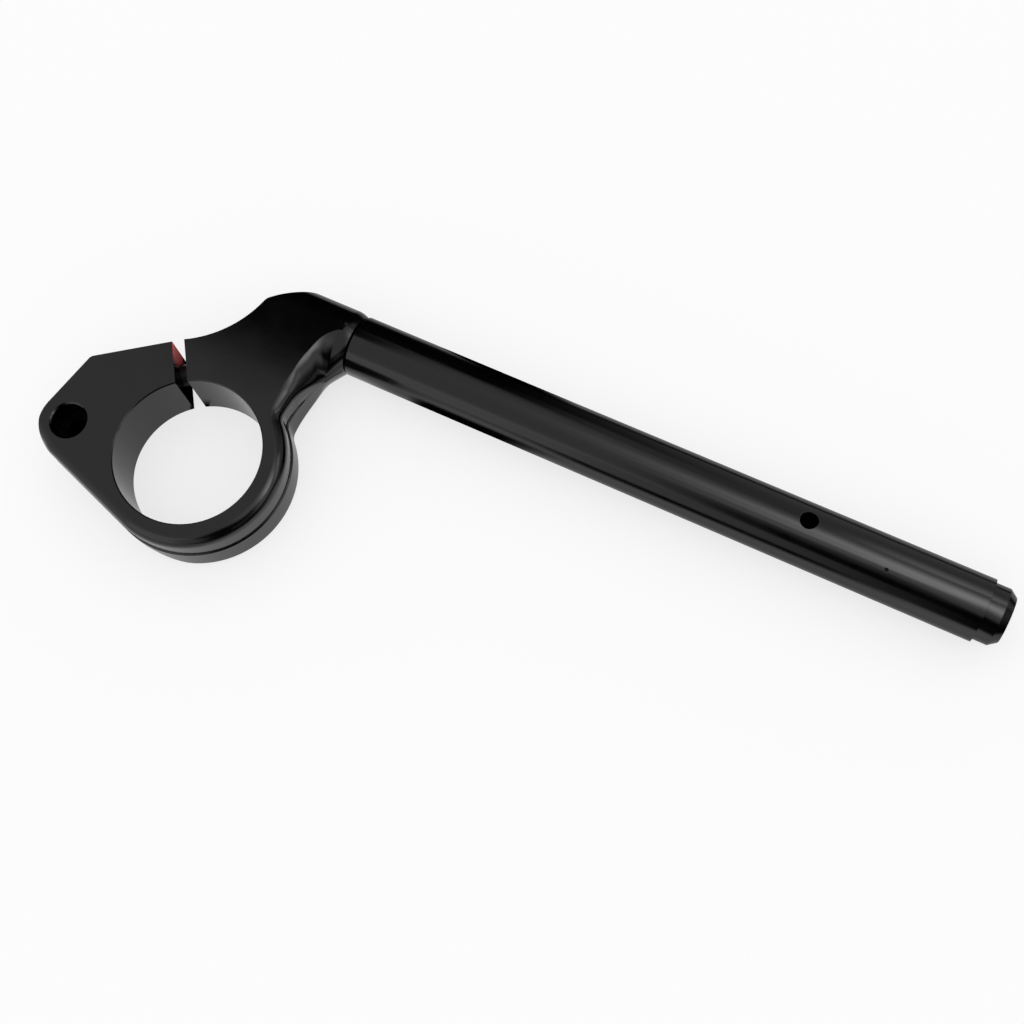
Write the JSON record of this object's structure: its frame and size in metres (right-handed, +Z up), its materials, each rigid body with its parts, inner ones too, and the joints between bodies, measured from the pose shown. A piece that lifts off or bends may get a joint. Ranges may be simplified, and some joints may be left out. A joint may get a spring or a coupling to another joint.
{
  "type": "clip-on handlebar",
  "caption": "One half of a clip-on handlebar: a forged clamp bracket with a slit and pinch screw for the fork tube, and a bar tube pressed into its boss.",
  "frame": {"origin": "axis of the fork clamp's bore, on the bracket's underside", "axes": "+Z up the fork tube, out of the bracket's top face; +X along the bar tube to its free end; +Y from the fork's axis to the bar's axis"},
  "size_m": [0.329, 0.1091, 0.0238],
  "materials": {
    "bracket_black": "satin black anodised",
    "bar_black": "satin black anodised, turned",
    "screw_black": "black oxide"
  },
  "bodies": {
    "root": {"clamp_bracket": "bracket_black", "bar_tube": "bar_black", "pinch_screw": "screw_black"}
  },
  "joints": []
}
